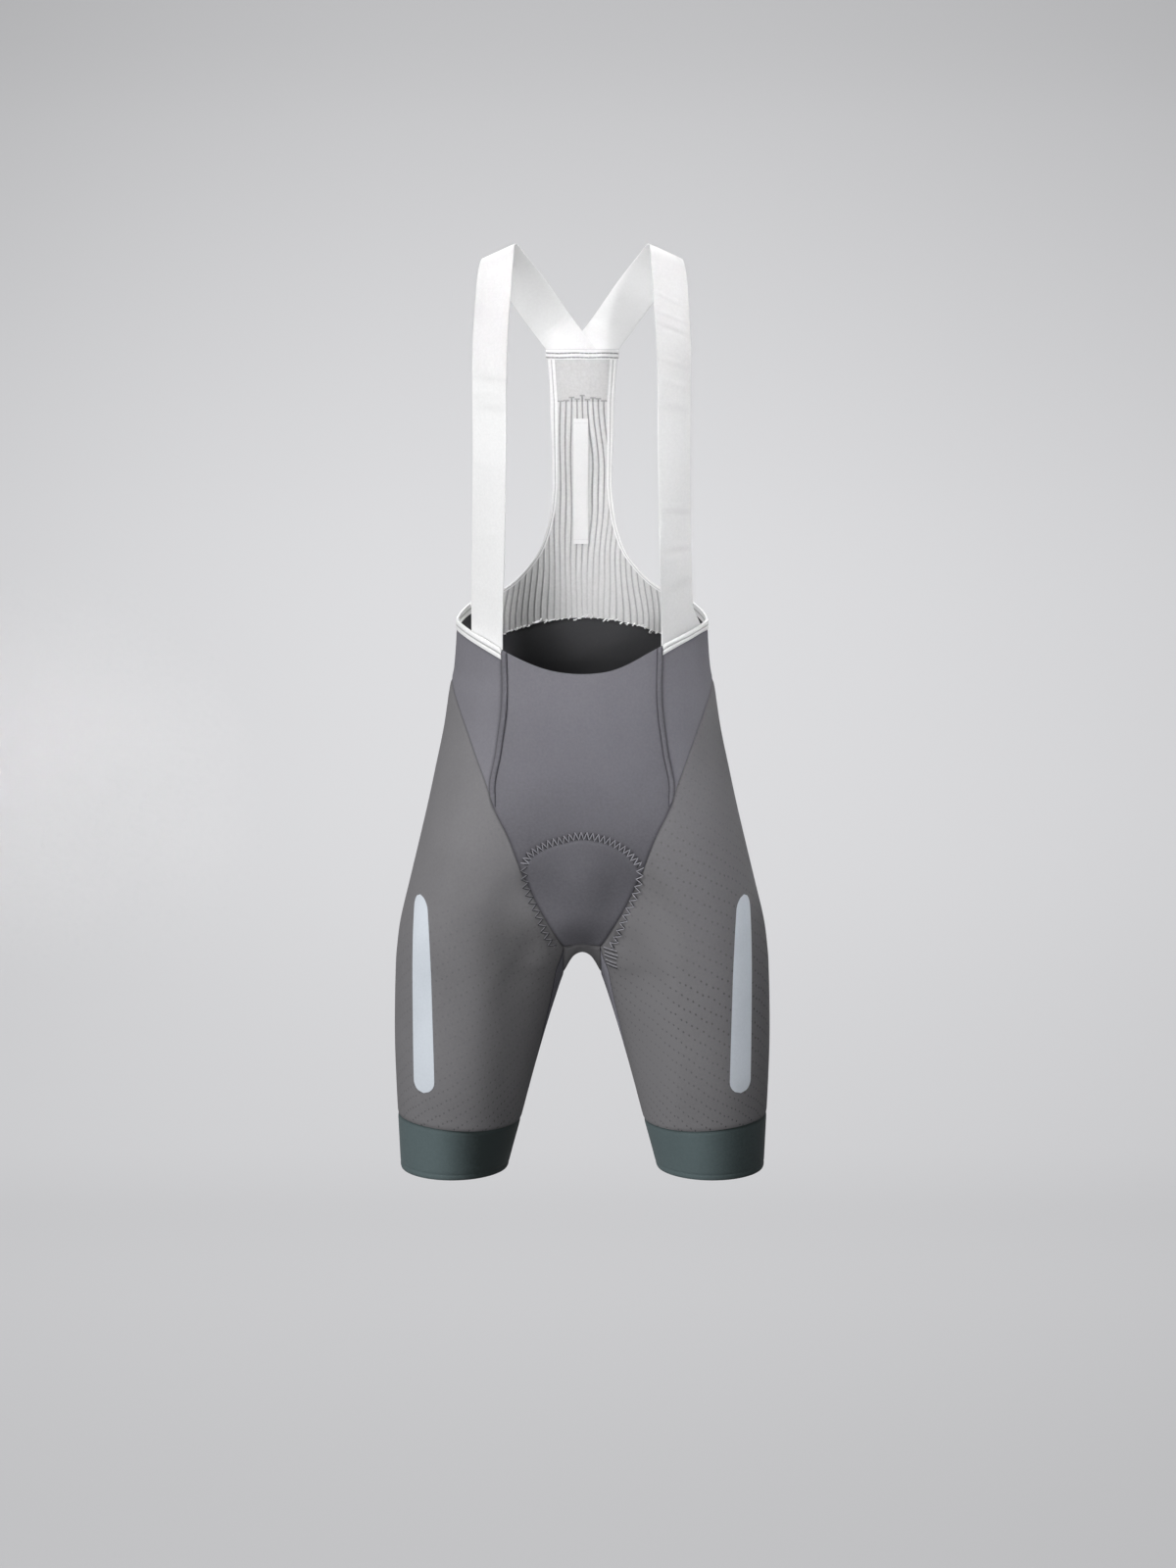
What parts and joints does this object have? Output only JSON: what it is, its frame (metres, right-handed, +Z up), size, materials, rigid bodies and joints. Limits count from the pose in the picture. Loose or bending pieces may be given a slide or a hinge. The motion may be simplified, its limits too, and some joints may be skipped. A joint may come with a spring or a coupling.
{
  "type": "cycling bib shorts",
  "caption": "Close-fitting cycling shorts with a scooped front, ribbed bib back and flat shoulder straps, shown worn and empty.",
  "frame": {"origin": "centre of the shoulders, at the height where the underside of both straps is carried", "axes": "+Z up the wearer, -Y out of the front, +X to the wearer's left"},
  "size_m": [0.3916, 0.2355, 0.9579],
  "materials": {
    "smooth_knit": "matt warp knit",
    "dimpled_knit": "matt knit with small slanting dimples",
    "gripper_elastic": "matt raw-cut elastic",
    "white_rib": "matt rib knit",
    "white_trim": "satin folded elastic",
    "strap_elastic": "satin flat elastic",
    "label_tape": "satin woven tape"
  },
  "bodies": {
    "root": {"front_panel": "smooth_knit", "back_panel": "smooth_knit", "side_panel_left": "smooth_knit", "side_panel_right": "smooth_knit", "leg_panel_left": "dimpled_knit", "leg_panel_right": "dimpled_knit", "gusset": "dimpled_knit", "inner_leg_left": "smooth_knit", "inner_leg_right": "smooth_knit", "gripper_left": "gripper_elastic", "gripper_right": "gripper_elastic", "front_seam_left": "smooth_knit", "front_seam_right": "smooth_knit", "rib_panel": "white_rib", "yoke": "white_rib", "top_band": "white_trim", "label": "label_tape", "binding_left": "white_trim", "binding_right": "white_trim", "strap_left": "strap_elastic", "strap_right": "strap_elastic"}
  },
  "joints": []
}
